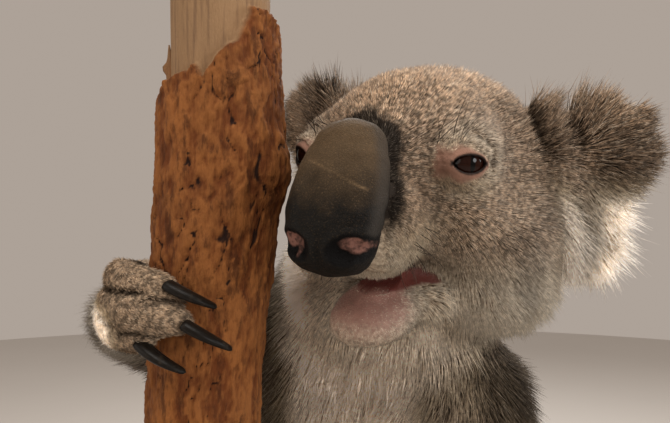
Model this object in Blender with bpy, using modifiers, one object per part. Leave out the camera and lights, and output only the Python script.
"""A life-size koala that clings to a cut length of tree trunk, on a plain display stand.

Metres, +Z up, origin on the floor under the middle of the stand's base. The animal faces -Y,
with the trunk in front of its right shoulder, and its head is turned round the trunk's side.
Each body part is a lump of clay: overlapping balls and tapered limbs, fused by a voxel remesh,
smoothed, thinned out, then carved back from its neighbours with a fine gap. The outlines are
those of the coat, out to the hair tips.
"""

import math

import bmesh
import bpy
from mathutils import Euler, Matrix, Vector

# ---------------------------------------------------------------- driving dimensions
GAP = 0.0014  # clearance left when a body part is first carved by its neighbour
MIDDLE_GAP = 0.0009  # and when it is carved again, after thinning
SHORTEST_EDGE = 0.00005  # edges left shorter than this by a carving are closed up
LEAST_LEFT = 0.2  # a carving that leaves less of the body than this has failed
FINE_GAP = 0.0003  # clearance between finished solids that meet
BASE_SIZE = (0.40, 0.33)
BASE_THICK = 0.016
BASE_CORNER = 0.03
ROD_RADIUS = 0.006
ROD_SPACING = 0.026

TRUNK_BOTTOM, TRUNK_TOP = 0.056, 0.655
TRUNK_FOOT = Vector((-0.0720, -0.052))  # the trunk's axis at its bottom end
TRUNK_HEAD = Vector((-0.0500, -0.056))  # and at its top end
WOOD_RADIUS = 0.0215
BARK_RADIUS = 0.0260
TRUNK_SIDES, PLAIN_RINGS, RAGGED_RINGS = 16, 8, 11
RAGGED_FROM = 0.53  # height where the lower, plainer stretch of the trunk ends
KNOT_HEIGHT = 0.562
BARK_TOP = 0.622  # mean height of the bark's ragged upper edge

HEAD_PLACE = Vector((0.0421, -0.0363, 0.5718))
HEAD_YAW, HEAD_PITCH, HEAD_ROLL = math.radians(-30.5), math.radians(10.2), math.radians(4.8)
HEAD = Matrix.Translation(HEAD_PLACE) @ Euler((0, 0, HEAD_YAW)).to_matrix().to_4x4()
HEAD = HEAD @ Euler((HEAD_PITCH, 0, 0)).to_matrix().to_4x4()
HEAD = HEAD @ Euler((0, HEAD_ROLL, 0)).to_matrix().to_4x4()

EYE_RADIUS = 0.0088
EYE_PLACE = (0.0336, -0.0412, -0.0024)  # the left eye's centre, in the head's frame
EAR_LIFT = 0.006
NOSE_STEPS = 7
JAW_ASIDE = 0.0018  # how far the chewing jaw is shifted to the animal's right
NOSE_ASIDE = 0.0010  # how far the pad leans to the animal's right of its head's middle

# The skeleton's joints, for the animal's right (R) and left (L) sides
PELVIS = Vector((-0.036, 0.046, 0.206))
WAIST = Vector((-0.016, 0.048, 0.300))
CHEST = Vector((0.006, 0.040, 0.400))
NECK = Vector((0.026, 0.008, 0.494))
SHOULDER = {"R": Vector((-0.044, 0.030, 0.462)), "L": Vector((0.064, -0.002, 0.448))}
ELBOW = {"R": Vector((-0.118, 0.050, 0.476)), "L": Vector((0.084, -0.042, 0.352))}
WRIST = {"R": Vector((-0.101, -0.022, 0.490)), "L": Vector((-0.010, -0.080, 0.326))}
HIP = {"R": Vector((-0.098, 0.038, 0.206)), "L": Vector((0.028, 0.038, 0.212))}
KNEE = {"R": Vector((-0.142, -0.034, 0.246)), "L": Vector((0.028, -0.048, 0.282))}
ANKLE = {"R": Vector((-0.122, -0.054, 0.156)), "L": Vector((-0.006, -0.064, 0.212))}

# The grain of the voxels that each kind of body part is evened out with
BODY_VOXEL, LIMB_VOXEL, PAW_VOXEL = 0.005, 0.004, 0.0022
HEAD_VOXEL, EAR_VOXEL, JAW_VOXEL = 0.0026, 0.0028, 0.0024

# About how many triangles each kind of body part keeps
TRIANGLES = {
    "thorax": 440, "abdomen": 420, "neck": 280, "head": 1300, "lower_jaw": 260, "nose_pad": 280,
    "ear": 290, "upper_arm": 200, "forearm": 160, "thigh": 240, "shank": 160, "hand": 560, "foot": 500,
}

COLOURS = {
    "coat": ((0.34, 0.28, 0.23), 0.9),
    "pale_coat": ((0.62, 0.56, 0.49), 0.9),
    "nose_skin": ((0.07, 0.06, 0.05), 0.45),
    "eye": ((0.03, 0.015, 0.01), 0.08),
    "claw": ((0.02, 0.018, 0.017), 0.35),
    "trunk": ((0.33, 0.12, 0.04), 0.85),
    "stand": ((0.05, 0.05, 0.055), 0.5),
}


# ---------------------------------------------------------------- tools
def clear_scene():
    for old in list(bpy.data.objects):
        bpy.data.objects.remove(old)


def material(name):
    """The named Principled material, made the first time it is asked for."""
    made = bpy.data.materials.get(name)
    if made is None:
        colour, roughness = COLOURS[name]
        made = bpy.data.materials.new(name)
        made.use_nodes = True
        shader = made.node_tree.nodes["Principled BSDF"]
        shader.inputs["Base Color"].default_value = (*colour, 1)
        shader.inputs["Roughness"].default_value = roughness
        made.diffuse_color = (*colour, 1)
    return made


def add_object(name, mesh, finish):
    obj = bpy.data.objects.new(name, mesh)
    mesh.materials.clear()
    mesh.materials.append(material(finish))
    bpy.data.collections["koala"].objects.link(obj)
    return obj


def ball(centre, radii, turn=(0, 0, 0), frame=None):
    """A function that adds an ellipsoid to a bmesh. turn is in degrees, frame a 4x4 matrix."""
    place = Matrix.Translation(Vector(centre)) @ Euler([math.radians(a) for a in turn]).to_matrix().to_4x4()
    if frame is not None:
        place = frame @ place
    place = place @ Matrix.Diagonal((*radii, 1))

    def add(bm):
        bmesh.ops.create_uvsphere(bm, u_segments=24, v_segments=16, radius=1, matrix=place)

    return add


def limb(start, start_radius, end, end_radius, frame=None):
    """A function that adds a tapered limb with round ends to a bmesh."""
    start, end = Vector(start), Vector(end)
    if frame is not None:
        start, end = frame @ start, frame @ end
    along = end - start
    place = Matrix.Translation((start + end) / 2) @ along.to_track_quat("Z", "Y").to_matrix().to_4x4()

    def add(bm):
        bmesh.ops.create_cone(
            bm, cap_ends=True, segments=20, radius1=start_radius, radius2=end_radius,
            depth=along.length, matrix=place,
        )
        for point, radius in ((start, start_radius), (end, end_radius)):
            sphere = Matrix.Translation(point) @ Matrix.Scale(radius, 4)
            bmesh.ops.create_uvsphere(bm, u_segments=20, v_segments=12, radius=1, matrix=sphere)

    return add


def chain(points, radii):
    """Limbs laid end to end through a list of points, as for a digit."""
    pairs = zip(points, points[1:], radii, radii[1:])
    return [limb(a, ra, b, rb) for a, b, ra, rb in pairs]


def both_sides(centre, radii, turn=(0, 0, 0), frame=None):
    """A ball and its mirror image across X = 0 of the frame."""
    x, y, z = centre
    tip, roll, yaw = turn
    return [ball(centre, radii, turn, frame), ball((-x, y, z), radii, (tip, -roll, -yaw), frame)]


def evaluated(obj):
    """The object's mesh with its modifiers, as a new mesh; the modifiers then go."""
    graph = bpy.context.evaluated_depsgraph_get()
    mesh = bpy.data.meshes.new_from_object(obj.evaluated_get(graph))
    obj.modifiers.clear()
    obj.data = mesh
    return obj


def fuse(obj, voxel, smoothing):
    """Makes overlapping shells one even skin with soft edges."""
    remesh = obj.modifiers.new("fuse", "REMESH")
    remesh.mode = "VOXEL"
    remesh.voxel_size = voxel
    smooth = obj.modifiers.new("smooth", "SMOOTH")
    smooth.factor = 0.5
    smooth.iterations = smoothing
    return evaluated(obj)


def clay(name, shapes, finish, voxel, smoothing=8):
    """Fuses overlapping shapes into one smooth closed body."""
    bm = bmesh.new()
    for add in shapes:
        add(bm)
    mesh = bpy.data.meshes.new(name)
    bm.to_mesh(mesh)
    bm.free()
    return fuse(add_object(name, mesh, finish), voxel, smoothing)


def grown(obj, by):
    """A cutter: a hidden copy of the solid with its surface moved out by that much."""
    cutter = bpy.data.objects.new(obj.name + "_cutter", obj.data.copy())
    bm = bmesh.new()
    bm.from_mesh(cutter.data)
    bm.normal_update()
    for vertex in bm.verts:
        vertex.co += vertex.normal * by
    bm.to_mesh(cutter.data)
    bm.free()
    bpy.data.collections["cutters"].objects.link(cutter)
    cutter.hide_render = True
    cutter.display_type = "WIRE"
    return cutter


def boxes_meet(a, b):
    """True if the two objects' boxes overlap. The objects sit at the origin."""
    for axis in range(3):
        spans = [[corner[axis] for corner in obj.bound_box] for obj in (a, b)]
        if min(spans[0]) > max(spans[1]) + GAP or min(spans[1]) > max(spans[0]) + GAP:
            return False
    return True


def keep_largest(obj):
    """Deletes the crumbs that a carving cut loose, and closes up faces with no width."""
    bm = bmesh.new()
    bm.from_mesh(obj.data)
    left, islands = set(bm.verts), []
    while left:
        island, border = set(), [left.pop()]
        while border:
            vertex = border.pop()
            island.add(vertex)
            near = {edge.other_vert(vertex) for edge in vertex.link_edges} & left
            left -= near
            border.extend(near)
        islands.append(island)
    islands.sort(key=len)
    crumbs = [vertex for island in islands[:-1] for vertex in island]
    bmesh.ops.delete(bm, geom=crumbs, context="VERTS")
    bmesh.ops.triangulate(bm, faces=bm.faces)
    bmesh.ops.dissolve_degenerate(bm, edges=bm.edges, dist=SHORTEST_EDGE)
    bm.to_mesh(obj.data)
    bm.free()


def volume(mesh):
    """The volume a closed mesh holds, or 0 for a mesh that isn't closed."""
    bm = bmesh.new()
    bm.from_mesh(mesh)
    closed = all(edge.is_manifold for edge in bm.edges)
    amount = bm.calc_volume(signed=True) if closed else 0
    bm.free()
    return amount


def cut_away(obj, other, gap):
    """Takes one grown neighbour off the object. MANIFOLD steps in where EXACT spoils the body."""
    whole, before = obj.data.copy(), volume(obj.data)
    for solver in ("EXACT", "MANIFOLD"):
        cut = obj.modifiers.new("carve", "BOOLEAN")
        cut.operation = "DIFFERENCE"
        cut.solver = solver
        cut.object = grown(other, gap)
        evaluated(obj)
        if LEAST_LEFT * before < volume(obj.data) < 1.001 * before:
            return
        obj.data = whole.copy()


def thin_out(obj):
    """Brings the mesh down to about the triangles that TRIANGLES gives its kind.

    Where thinning pinches two sides of the mesh together, it is done again a little harder.
    """
    whole = obj.data.copy()
    now = sum(len(face.vertices) - 2 for face in whole.polygons)
    kept = next(count for kind, count in TRIANGLES.items() if obj.name.startswith(kind))
    for share in (1.0, 0.95, 0.90, 0.85):
        obj.data = whole.copy()
        thin = obj.modifiers.new("thin", "DECIMATE")
        thin.ratio = min(1.0, kept * share / now)
        thin.use_collapse_triangulate = True
        evaluated(obj)
        if volume(obj.data) > 0:
            break
    return obj


def carve(obj, neighbours, voxel):
    """Cuts the object back from each neighbour that it meets, then evens out and thins its surface.

    Thinning can push the surface a hair past the cut, so the same cuts are made again at the end.
    """
    bpy.context.view_layer.update()
    meeting = [other for other in neighbours if boxes_meet(obj, other)]
    for other in meeting:
        cut_away(obj, other, GAP)
    if meeting:
        keep_largest(obj)
        fuse(obj, voxel, 1)
        keep_largest(obj)
    thin_out(obj)
    for other in meeting:
        cut_away(obj, other, MIDDLE_GAP)
    keep_largest(obj)
    thin_out(obj)
    for other in meeting:
        cut_away(obj, other, FINE_GAP)
    keep_largest(obj)
    obj.data.shade_smooth()
    return obj


# ---------------------------------------------------------------- perch and stand
def trunk_axis(z):
    """The trunk's centre at a height."""
    share = (z - TRUNK_BOTTOM) / (TRUNK_TOP - TRUNK_BOTTOM)
    flat = TRUNK_FOOT.lerp(TRUNK_HEAD, share)
    return Vector((flat.x + 0.003 * math.exp(-((z - KNOT_HEIGHT) / 0.06) ** 2), flat.y, z))


def round_trunk(angle, z, distance):
    """A point beside the trunk: angle in degrees from its front (-Y) towards its -X side."""
    a = math.radians(angle)
    return trunk_axis(z) + Vector((-math.sin(a), -math.cos(a), 0)) * distance


def bark_edge(angle):
    """The height where the bark ends and bare wood begins, ragged round the trunk."""
    ragged = 0.010 * math.sin(3 * angle) + 0.004 * math.sin(7 * angle + 1)
    return BARK_TOP - 0.022 * math.cos(angle + 0.5) + ragged


def trunk_radius(angle, z):
    """The trunk's radius, angle in radians from +X. The bark is lumpy, the bare wood smooth."""
    lumps = 0.0016 * math.cos(30 * (z - KNOT_HEIGHT)) + 0.0007 * math.sin(3 * angle + 21 * z)
    knot = 0.0040 * math.exp(-((z - KNOT_HEIGHT) / 0.016) ** 2) * max(0.0, math.cos(angle + 0.35)) ** 6
    bare = 1 / (1 + math.exp((bark_edge(angle) - z) / 0.0015))
    return BARK_RADIUS + lumps + knot - bare * (BARK_RADIUS + lumps - WOOD_RADIUS)


def perch_trunk():
    """The cut length of trunk, a loft of lumpy rings between two flat cuts."""
    bm = bmesh.new()
    lower = [TRUNK_BOTTOM + (RAGGED_FROM - TRUNK_BOTTOM) * i / PLAIN_RINGS for i in range(PLAIN_RINGS)]
    upper = [RAGGED_FROM + (TRUNK_TOP - RAGGED_FROM) * i / RAGGED_RINGS for i in range(RAGGED_RINGS + 1)]
    rings = []
    for z in lower + upper:
        ring = []
        for side in range(TRUNK_SIDES):
            angle = 2 * math.pi * side / TRUNK_SIDES
            out = Vector((math.cos(angle), math.sin(angle), 0)) * trunk_radius(angle, z)
            ring.append(bm.verts.new(trunk_axis(z) + out))
        rings.append(ring)
    for low, high in zip(rings, rings[1:]):
        for i in range(TRUNK_SIDES):
            j = (i + 1) % TRUNK_SIDES
            bm.faces.new((low[i], low[j], high[j], high[i]))
    bm.faces.new(rings[0][::-1])
    bm.faces.new(rings[-1])
    mesh = bpy.data.meshes.new("perch_trunk")
    bm.to_mesh(mesh)
    bm.free()
    return add_object("perch_trunk", mesh, "trunk")


def stand_base():
    """A flat plate with round corners and a bevelled rim."""
    outline = bpy.data.curves.new("stand_base", "CURVE")
    outline.dimensions = "2D"
    outline.fill_mode = "BOTH"
    bevel = 0.002
    outline.extrude = BASE_THICK / 2 - bevel
    outline.bevel_depth = bevel
    outline.bevel_resolution = 1
    corners = []
    for cx, cy, first in ((1, 1, 0), (-1, 1, 90), (-1, -1, 180), (1, -1, 270)):
        for step in range(4):
            a = math.radians(first + 30 * step)
            reach = BASE_CORNER - bevel
            x = cx * (BASE_SIZE[0] / 2 - BASE_CORNER) + reach * math.cos(a)
            y = cy * (BASE_SIZE[1] / 2 - BASE_CORNER) + reach * math.sin(a)
            corners.append((x, y, 0, 1))
    spline = outline.splines.new("POLY")
    spline.points.add(len(corners) - 1)
    for point, corner in zip(spline.points, corners):
        point.co = corner
    spline.use_cyclic_u = True
    guide = bpy.data.objects.new("stand_base_outline", outline)
    guide.location.z = BASE_THICK / 2
    bpy.data.collections["koala"].objects.link(guide)
    bpy.context.view_layer.update()
    graph = bpy.context.evaluated_depsgraph_get()
    mesh = bpy.data.meshes.new_from_object(guide.evaluated_get(graph))
    mesh.transform(guide.matrix_world)
    bm = bmesh.new()
    bm.from_mesh(mesh)
    bmesh.ops.remove_doubles(bm, verts=bm.verts, dist=0.00005)
    bm.to_mesh(mesh)
    bm.free()
    bpy.data.objects.remove(guide)
    return add_object("stand_base", mesh, "stand")


def stand_rod(number, offset):
    """A short upright between the base and the trunk's lower cut."""
    foot = Vector((TRUNK_FOOT.x + offset, TRUNK_FOOT.y, 0))
    low, high = BASE_THICK + FINE_GAP, TRUNK_BOTTOM - FINE_GAP
    bm = bmesh.new()
    place = Matrix.Translation(foot + Vector((0, 0, (low + high) / 2)))
    bmesh.ops.create_cone(
        bm, cap_ends=True, segments=12, radius1=ROD_RADIUS, radius2=ROD_RADIUS,
        depth=high - low, matrix=place,
    )
    mesh = bpy.data.meshes.new("stand_rod")
    bm.to_mesh(mesh)
    bm.free()
    return add_object(f"stand_rod_{number}", mesh, "stand")


# ---------------------------------------------------------------- trunk of the body
def thorax():
    shapes = [
        ball(CHEST, (0.086, 0.070, 0.080), (8, 6, -6)),
        ball(CHEST + Vector((0.000, 0.012, -0.034)), (0.088, 0.071, 0.078)),
        ball(CHEST.lerp(NECK, 0.60) + Vector((-0.010, 0.014, 0.000)), (0.076, 0.062, 0.058), (0, 12, -12)),
        ball(CHEST + Vector((0.006, 0.022, 0.034)), (0.074, 0.056, 0.084), (12, 6, 0)),
        ball(SHOULDER["R"] + Vector((0.010, 0.006, -0.006)), (0.046, 0.044, 0.046)),
        ball(SHOULDER["L"] + Vector((-0.014, 0.008, -0.012)), (0.044, 0.044, 0.048)),
    ]
    return clay("thorax", shapes, "coat", 0.005, 14)


def abdomen():
    shapes = [
        ball(WAIST, (0.092, 0.076, 0.082), (-4, 8, 0)),
        ball(WAIST.lerp(PELVIS, 0.5) + Vector((0, 0.004, 0)), (0.098, 0.080, 0.080)),
        ball(PELVIS + Vector((0, 0.006, -0.002)), (0.096, 0.074, 0.068)),
    ]
    return clay("abdomen", shapes, "coat", 0.005, 14)


def neck():
    shapes = [
        limb(NECK + Vector((-0.004, 0.014, -0.004)), 0.062, HEAD @ Vector((0.002, 0.018, -0.034)), 0.048),
        ball(NECK + Vector((-0.006, 0.024, 0.010)), (0.056, 0.046, 0.044), (18, 0, 0)),
        ball(NECK + Vector((-0.004, -0.014, 0.000)), (0.054, 0.044, 0.044)),
        ball(HEAD @ Vector((0, -0.002, -0.068)), (0.046, 0.036, 0.028), (0, 0, -29)),
    ]
    return clay("neck", shapes, "coat", 0.004, 12)


# ---------------------------------------------------------------- head
def head():
    shapes = [
        ball((0, 0.010, -0.012), (0.055, 0.052, 0.050), frame=HEAD),
        ball((0, -0.016, -0.003), (0.046, 0.040, 0.040), frame=HEAD),
        ball((0, 0.024, -0.034), (0.058, 0.038, 0.042), frame=HEAD),
        ball((0, -0.044, -0.026), (0.026, 0.038, 0.025), (12, 0, 0), frame=HEAD),
        ball((0, -0.044, -0.004), (0.020, 0.019, 0.021), (20, 0, 0), frame=HEAD),
    ]
    shapes += both_sides((0.033, 0.004, -0.038), (0.032, 0.040, 0.034), (0, 14, 0), frame=HEAD)
    shapes += both_sides((0.028, 0.008, -0.060), (0.035, 0.038, 0.032), frame=HEAD)
    shapes += both_sides((0.030, -0.024, -0.024), (0.021, 0.024, 0.028), frame=HEAD)
    shapes += both_sides((0.029, -0.029, 0.004), (0.021, 0.019, 0.016), (0, 12, -20), frame=HEAD)
    shapes += both_sides((0.0125, -0.062, -0.029), (0.0115, 0.026, 0.017), (10, 0, 8), frame=HEAD)
    shapes += both_sides((0.0195, -0.0655, -0.024), (0.0090, 0.0140, 0.0190), (10, 0, 8), frame=HEAD)
    return clay("head", shapes, "coat", 0.0028, 7)


def jaw():
    middle = HEAD @ Matrix.Translation((-JAW_ASIDE, 0, 0))
    shapes = [
        ball((0, -0.046, -0.0665), (0.0205, 0.026, 0.0120), (16, 0, 0), frame=middle),
        ball((0, -0.024, -0.066), (0.028, 0.026, 0.016), frame=middle),
        ball((0, -0.063, -0.0680), (0.0150, 0.0130, 0.0105), (24, 0, 0), frame=middle),
    ]
    return clay("lower_jaw", shapes, "pale_coat", 0.0024, 6)


def nose():
    """The long bare pad, flat in front: rows of three balls down its length."""
    shapes = []
    middle = HEAD @ Matrix.Translation((-NOSE_ASIDE, 0, 0))
    for step in range(NOSE_STEPS):
        t = step / (NOSE_STEPS - 1)
        y, z = -0.0705 - 0.0160 * math.sin(1.35 * t), 0.0036 - 0.0325 * t
        width = 0.0214 * math.sin(math.pi * (0.20 + 0.42 * t)) ** 0.75 * (0.99 - 0.15 * t)
        shapes.append(ball((0, y, z), (width, 0.0130, 0.0125), (20, 0, 0), frame=middle))
        shapes += both_sides((width - 0.0095, y, z), (0.0100, 0.0120, 0.0115), (20, 0, 0), frame=middle)
    return clay("nose_pad", shapes, "nose_skin", 0.0018, 6)


def eye(side):
    """An eyeball. side is 1 for the animal's left, -1 for its right."""
    centre = (EYE_PLACE[0] * side, EYE_PLACE[1], EYE_PLACE[2])
    bm = bmesh.new()
    place = HEAD @ Matrix.Translation(centre) @ Matrix.Rotation(math.pi / 2, 4, "X")
    bmesh.ops.create_uvsphere(bm, u_segments=12, v_segments=7, radius=EYE_RADIUS, matrix=place)
    name = "eye_" + ("L" if side > 0 else "R")
    mesh = bpy.data.meshes.new(name)
    bm.to_mesh(mesh)
    bm.free()
    obj = add_object(name, mesh, "eye")
    mesh.shade_smooth()
    return obj


def ear(side):
    """The round ear with its fringe, cupped forwards. The right one is held a little higher."""
    lift = 0.0 if side > 0 else EAR_LIFT
    turn = HEAD @ Matrix.Translation((0, 0, lift)) @ Matrix.Scale(side, 4, (1, 0, 0))
    shapes = [
        ball((0.074, 0.024, -0.002), (0.031, 0.013, 0.031), (0, 12, 18), frame=turn),
        ball((0.056, 0.020, -0.002), (0.021, 0.015, 0.022), frame=turn),
        ball((0.069, 0.018, -0.037), (0.019, 0.012, 0.033), (0, -8, 10), frame=turn),
    ]
    return clay("ear_" + ("L" if side > 0 else "R"), shapes, "coat", 0.0028, 6)


# ---------------------------------------------------------------- limbs
def upper_arm(side):
    shapes = [limb(SHOULDER[side], 0.042, ELBOW[side], 0.031)]
    return clay("upper_arm_" + side, shapes, "coat", 0.004, 6)


def forearm(side):
    shapes = [limb(ELBOW[side], 0.030, WRIST[side], 0.020)]
    return clay("forearm_" + side, shapes, "coat", 0.004, 6)


def thigh(side):
    outward = -1 if side == "R" else 1
    middle = HIP[side].lerp(KNEE[side], 0.42) + Vector((0.003 * outward, 0.006, 0.004))
    shapes = [
        limb(HIP[side], 0.056, KNEE[side], 0.037),
        ball(middle, (0.046, 0.054, 0.054)),
    ]
    return clay("thigh_" + side, shapes, "coat", 0.004, 6)


def shank(side):
    shapes = [limb(KNEE[side], 0.035, ANKLE[side], 0.026)]
    return clay("shank_" + side, shapes, "coat", 0.004, 6)


# Each digit wraps round the trunk: name, first and last angle, first and last height above the
# palm's middle, and its thickness. Angles are for the right side, and the left mirrors them.
HAND_DIGITS = (
    ("1", 100, 152, 0.004, 0.000, 0.0076),
    ("2", 98, 144, 0.016, 0.018, 0.0078),
    ("3", 86, 22, 0.018, 0.016, 0.0082),
    ("4", 86, 8, 0.008, 0.001, 0.0090),
    ("5", 88, 42, -0.004, -0.008, 0.0086),
)
FOOT_DIGITS = (
    ("1", 100, 146, -0.012, -0.020, 0.0095),
    ("2", 86, 18, 0.010, 0.013, 0.0068),
    ("3", 86, 15, 0.000, -0.001, 0.0068),
    ("4", 86, 6, -0.012, -0.016, 0.0090),
    ("5", 88, 24, -0.027, -0.033, 0.0086),
)
HAND_HEIGHT = {"R": 0.495, "L": 0.330}
FOOT_HEIGHT = {"R": 0.144, "L": 0.208}
CLAW_LENGTH, CLAW_RADIUS, CLAW_STEPS = 0.017, 0.0029, 3
CLAW_HOOK = 0.0105  # how far a claw curves in towards the bark
CLAW_DIP = 0.008  # how much lower a claw's tip is than its root


def digit_path(side, digit, height):
    """Points along a digit's middle, from its knuckle to its tip, hugging the bark."""
    name, first, last, rise, fall, thick = digit
    mirror = 1 if side == "R" else -1
    points = []
    for step in range(5):
        t = step / 4
        arch = 0.0035 * math.sin(math.pi * min(1.0, 1.4 * t))
        distance = BARK_RADIUS + thick * 0.80 + arch + 0.006 * (1 - t) ** 2
        angle = mirror * (first + (last - first) * t)
        points.append(round_trunk(angle, height + rise + (fall - rise) * t, distance))
    return points


def paw(name, side, digits, height, palm, joint, joint_radius):
    """A hand or foot: the palm, its digits, and the root that meets the limb."""
    mirror = 1 if side == "R" else -1
    middle = round_trunk(96 * mirror, height, BARK_RADIUS + 0.013)
    inner = round_trunk(112 * mirror, height - 0.002, BARK_RADIUS + 0.012)
    shapes = [
        ball(middle, palm, (0, 0, -10 * mirror)),
        ball(inner, (palm[0] * 0.8, palm[1] * 0.9, palm[2] * 0.85)),
        limb(joint, joint_radius, middle.lerp(joint, 0.3), joint_radius * 0.85),
    ]
    for digit in digits:
        thick = digit[5]
        path = digit_path(side, digit, height)
        shapes += chain(path, [thick * 1.12, thick * 1.08, thick * 1.08, thick, thick * 0.86])
    return clay(f"{name}_{side}", shapes, "coat", PAW_VOXEL, 3)


def claw(name, side, digit, height):
    """A curved, tapering claw that grows on from the digit's tip and bites the bark."""
    path = digit_path(side, digit, height)
    tip, along = path[-1], (path[-1] - path[-2]).normalized()
    outward = (tip - trunk_axis(tip.z)).normalized()
    base = tip + (along * 0.35 + outward * 0.25) * digit[5]
    points, radii = [], []
    for step in range(CLAW_STEPS + 1):
        t = step / CLAW_STEPS
        forward = CLAW_LENGTH * math.sin(t * 1.15) / math.sin(1.15)
        drop = CLAW_HOOK * (1 - math.cos(t * 1.35)) / (1 - math.cos(1.35))
        points.append(base + along * forward - outward * drop - Vector((0, 0, CLAW_DIP * t)))
        radii.append(CLAW_RADIUS * (1 - 0.72 * t ** 2))
    curve = bpy.data.curves.new(name, "CURVE")
    curve.dimensions = "3D"
    curve.bevel_depth = 1.0
    curve.bevel_resolution = 1
    curve.use_fill_caps = True
    spline = curve.splines.new("POLY")
    spline.points.add(len(points) - 1)
    for place, point, radius in zip(spline.points, points, radii):
        place.co = (*point, 1)
        place.radius = radius
    guide = bpy.data.objects.new(name + "_path", curve)
    bpy.data.collections["koala"].objects.link(guide)
    bpy.context.view_layer.update()
    graph = bpy.context.evaluated_depsgraph_get()
    mesh = bpy.data.meshes.new_from_object(guide.evaluated_get(graph))
    bm = bmesh.new()
    bm.from_mesh(mesh)
    bmesh.ops.remove_doubles(bm, verts=bm.verts, dist=0.00005)
    bm.to_mesh(mesh)
    bm.free()
    bpy.data.objects.remove(guide)
    return add_object(name, mesh, "claw")


# ---------------------------------------------------------------- the whole animal
PALM = {"hand": (0.013, 0.018, 0.018), "foot": (0.014, 0.020, 0.027)}
DIGITS = {"hand": HAND_DIGITS, "foot": FOOT_DIGITS}
HEIGHT = {"hand": HAND_HEIGHT, "foot": FOOT_HEIGHT}
JOINT = {"hand": WRIST, "foot": ANKLE}
JOINT_RADIUS = {"hand": 0.018, "foot": 0.024}


def clawed(name, digits):
    """The digits with a claw: all but the hind foot's big toe."""
    return digits if name == "hand" else digits[1:]


def build_limbs(perch, body):
    """The four limbs with their claws. Each piece is carved by those made before it."""
    made = list(body)
    for side in ("R", "L"):
        for make in (upper_arm, forearm, thigh, shank):
            made.append(carve(make(side), [perch, *made], LIMB_VOXEL))
    for name in ("hand", "foot"):
        for side in ("R", "L"):
            height = HEIGHT[name][side]
            claws = [
                claw(f"claw_{name}_{side}{digit[0]}", side, digit, height)
                for digit in clawed(name, DIGITS[name])
            ]
            joint = JOINT[name][side]
            whole = paw(name, side, DIGITS[name], height, PALM[name], joint, JOINT_RADIUS[name])
            made.append(carve(whole, [perch, *made, *claws], PAW_VOXEL))


def build():
    clear_scene()
    for name in ("koala", "cutters"):
        collection = bpy.data.collections.new(name)
        bpy.context.scene.collection.children.link(collection)
    perch = perch_trunk()
    stand_base()
    stand_rod(1, -ROD_SPACING / 2)
    stand_rod(2, ROD_SPACING / 2)
    chest = carve(thorax(), [perch], BODY_VOXEL)
    belly = carve(abdomen(), [perch, chest], BODY_VOXEL)
    pad = thin_out(nose())
    skull = carve(head(), [perch, chest, pad, eye(1), eye(-1)], HEAD_VOXEL)
    nape = carve(neck(), [perch, chest, skull], LIMB_VOXEL)
    ears = [carve(ear(side), [perch, skull, nape], EAR_VOXEL) for side in (1, -1)]
    mandible = carve(jaw(), [skull, nape, chest, pad], JAW_VOXEL)
    build_limbs(perch, [chest, belly, nape, skull, mandible, *ears])
    cutters = bpy.data.collections["cutters"]
    for cutter in list(cutters.objects):
        bpy.data.objects.remove(cutter)
    bpy.data.collections.remove(cutters)


build()
